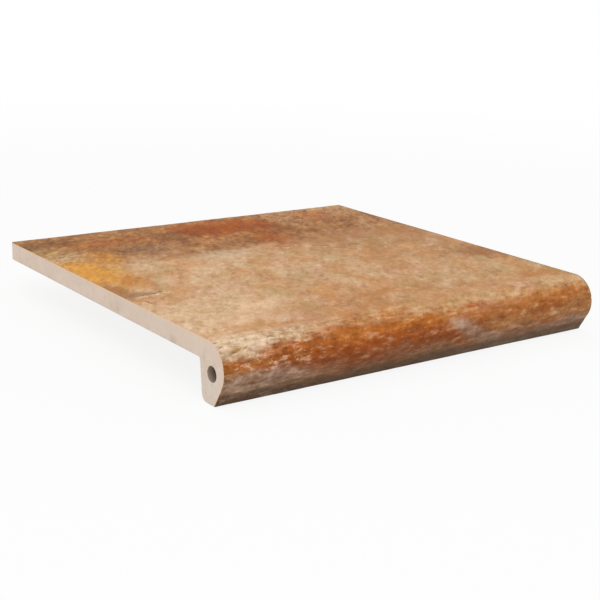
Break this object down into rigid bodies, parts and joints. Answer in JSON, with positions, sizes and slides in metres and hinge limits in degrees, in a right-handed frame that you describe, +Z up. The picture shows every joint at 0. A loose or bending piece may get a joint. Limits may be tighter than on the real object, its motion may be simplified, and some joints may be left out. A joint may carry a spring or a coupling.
{
  "type": "clinker step tile",
  "caption": "Glazed clinker stair tread tile: a flat slab with a deep rounded nose along its front, bored end to end, laid on a step with the nose over the riser.",
  "frame": {"origin": "middle of the bedding face, the slab's flat underside that is laid on the tread", "axes": "+X along the nose, +Y from the nose towards the back edge, +Z up out of the glazed top"},
  "size_m": [0.33, 0.315, 0.042],
  "materials": {
    "glazed_clinker": "matt stone-look glaze in rust, tan, ochre and grey-brown on the top and nose, over a bare, pale pinkish beige body"
  },
  "bodies": {
    "root": {"step_tile": "glazed_clinker"}
  },
  "joints": []
}
